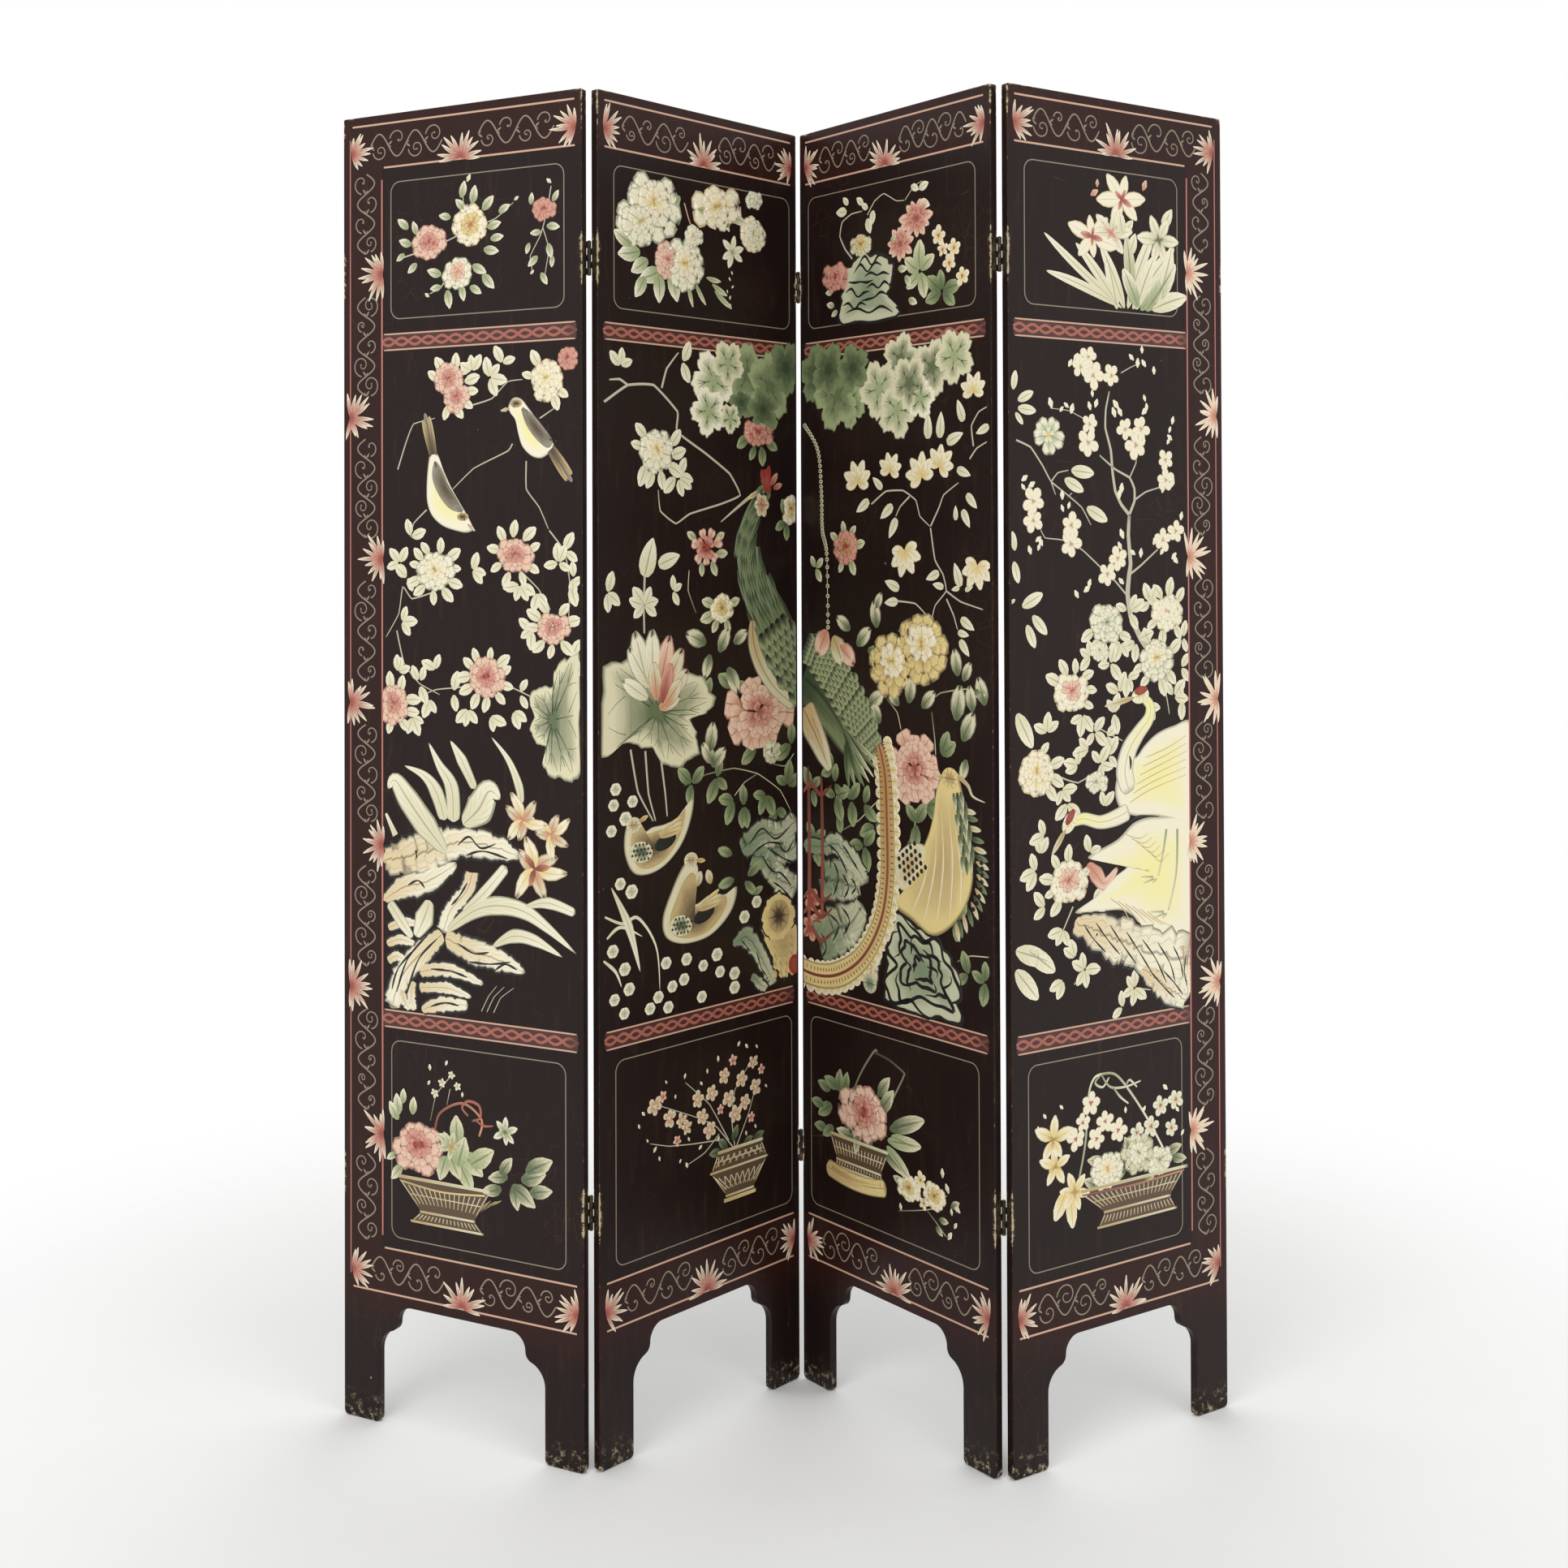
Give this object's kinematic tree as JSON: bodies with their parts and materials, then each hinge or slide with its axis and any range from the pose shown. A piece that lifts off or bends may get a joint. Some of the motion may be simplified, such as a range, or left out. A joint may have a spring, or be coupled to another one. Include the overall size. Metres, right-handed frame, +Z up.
{
  "type": "folding screen",
  "caption": "Folding screen of flush lacquered wooden leaves with stepped aprons, hinged to stand in a zigzag and fold flat.",
  "frame": {"origin": "on the floor, at the middle of the standing screen's box", "axes": "+Z up, +X to the right as seen from the painted front, +Y towards the back"},
  "size_m": [1.2492, 0.3288, 1.83],
  "materials": {
    "lacquered_wood": "black-brown gloss lacquer over wood, with a painted front",
    "hinge_brass": "aged, dull brass"
  },
  "bodies": {
    "leaf_1": {"leaf_1_left_stile": "lacquered_wood", "leaf_1_right_stile": "lacquered_wood", "leaf_1_top_rail": "lacquered_wood", "leaf_1_upper_rail": "lacquered_wood", "leaf_1_lower_rail": "lacquered_wood", "leaf_1_apron_rail": "lacquered_wood", "leaf_1_top_board": "lacquered_wood", "leaf_1_centre_board": "lacquered_wood", "leaf_1_bottom_board": "lacquered_wood", "leaf_1_hinge_screws": "hinge_brass", "hinge_12_upper_left_flap": "hinge_brass", "hinge_12_upper_pin": "hinge_brass", "hinge_12_lower_left_flap": "hinge_brass", "hinge_12_lower_pin": "hinge_brass"},
    "leaf_2": {"leaf_2_left_stile": "lacquered_wood", "leaf_2_right_stile": "lacquered_wood", "leaf_2_top_rail": "lacquered_wood", "leaf_2_upper_rail": "lacquered_wood", "leaf_2_lower_rail": "lacquered_wood", "leaf_2_apron_rail": "lacquered_wood", "leaf_2_top_board": "lacquered_wood", "leaf_2_centre_board": "lacquered_wood", "leaf_2_bottom_board": "lacquered_wood", "leaf_2_hinge_screws": "hinge_brass", "hinge_12_upper_right_flap": "hinge_brass", "hinge_12_lower_right_flap": "hinge_brass", "hinge_23_upper_left_flap": "hinge_brass", "hinge_23_upper_pin": "hinge_brass", "hinge_23_lower_left_flap": "hinge_brass", "hinge_23_lower_pin": "hinge_brass"},
    "leaf_3": {"leaf_3_left_stile": "lacquered_wood", "leaf_3_right_stile": "lacquered_wood", "leaf_3_top_rail": "lacquered_wood", "leaf_3_upper_rail": "lacquered_wood", "leaf_3_lower_rail": "lacquered_wood", "leaf_3_apron_rail": "lacquered_wood", "leaf_3_top_board": "lacquered_wood", "leaf_3_centre_board": "lacquered_wood", "leaf_3_bottom_board": "lacquered_wood", "leaf_3_hinge_screws": "hinge_brass", "hinge_23_upper_right_flap": "hinge_brass", "hinge_23_lower_right_flap": "hinge_brass", "hinge_34_upper_left_flap": "hinge_brass", "hinge_34_upper_pin": "hinge_brass", "hinge_34_lower_left_flap": "hinge_brass", "hinge_34_lower_pin": "hinge_brass"},
    "leaf_4": {"leaf_4_left_stile": "lacquered_wood", "leaf_4_right_stile": "lacquered_wood", "leaf_4_top_rail": "lacquered_wood", "leaf_4_upper_rail": "lacquered_wood", "leaf_4_lower_rail": "lacquered_wood", "leaf_4_apron_rail": "lacquered_wood", "leaf_4_top_board": "lacquered_wood", "leaf_4_centre_board": "lacquered_wood", "leaf_4_bottom_board": "lacquered_wood", "leaf_4_hinge_screws": "hinge_brass", "hinge_34_upper_right_flap": "hinge_brass", "hinge_34_lower_right_flap": "hinge_brass"}
  },
  "joints": [
    {"name": "fold_1_2", "type": "hinge", "parent": "leaf_2", "child": "leaf_1", "pos_m": [-0.26128, -0.13253, 0.9], "axis": [0, 0, 1], "range_deg": [-105, 75]},
    {"name": "fold_2_3", "type": "hinge", "parent": "leaf_2", "child": "leaf_3", "pos_m": [0.02342, 0.15863, 0.9], "axis": [0, 0, 1], "range_deg": [-80, 100]},
    {"name": "fold_3_4", "type": "hinge", "parent": "leaf_3", "child": "leaf_4", "pos_m": [0.28165, -0.15623, 0.9], "axis": [0, 0, -1], "range_deg": [-94, 86]}
  ]
}
